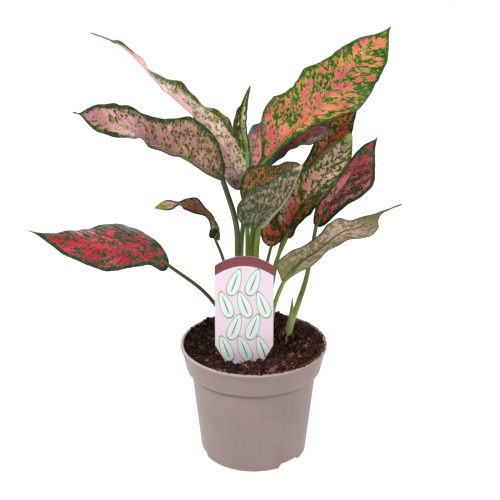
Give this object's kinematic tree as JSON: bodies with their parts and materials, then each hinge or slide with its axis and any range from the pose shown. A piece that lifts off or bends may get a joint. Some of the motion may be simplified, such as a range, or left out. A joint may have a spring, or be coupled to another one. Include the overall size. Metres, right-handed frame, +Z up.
{
  "type": "potted chinese evergreen",
  "caption": "Chinese evergreen with long variegated leaves on bare stalks, standing in peat in a round plastic nursery pot with a plain arched plant label.",
  "frame": {"origin": "on the table, under the middle of the pot, at the flat foot of the moulding boss in its floor", "axes": "+Z up, -Y towards the side where the label stands and the leaves show their upper sides, +X to that side's right"},
  "size_m": [0.2757, 0.1402, 0.3425],
  "materials": {
    "pot_plastic": "satin, moulded, rosy taupe",
    "peat": "dark crumbly peat with reddish fibres",
    "label_card": "thin printed plastic sheet, satin",
    "leaf": "waxy leaf, red and pink blotches on dark green",
    "leaf_green": "waxy leaf, olive green with pale streaks"
  },
  "bodies": {
    "root": {"pot": "pot_plastic", "soil": "peat", "label": "label_card", "leaf_lower_left": "leaf", "leaf_small_curled": "leaf_green", "leaf_mid_left": "leaf", "leaf_upper_left": "leaf", "leaf_new_spear": "leaf_green", "leaf_upper_right": "leaf", "leaf_under_upper_right": "leaf", "leaf_behind_right": "leaf", "leaf_mid_right": "leaf_green", "leaf_front_centre": "leaf_green", "leaf_small_red": "leaf", "leaf_lower_right": "leaf_green", "leaf_right_red": "leaf"}
  },
  "joints": []
}
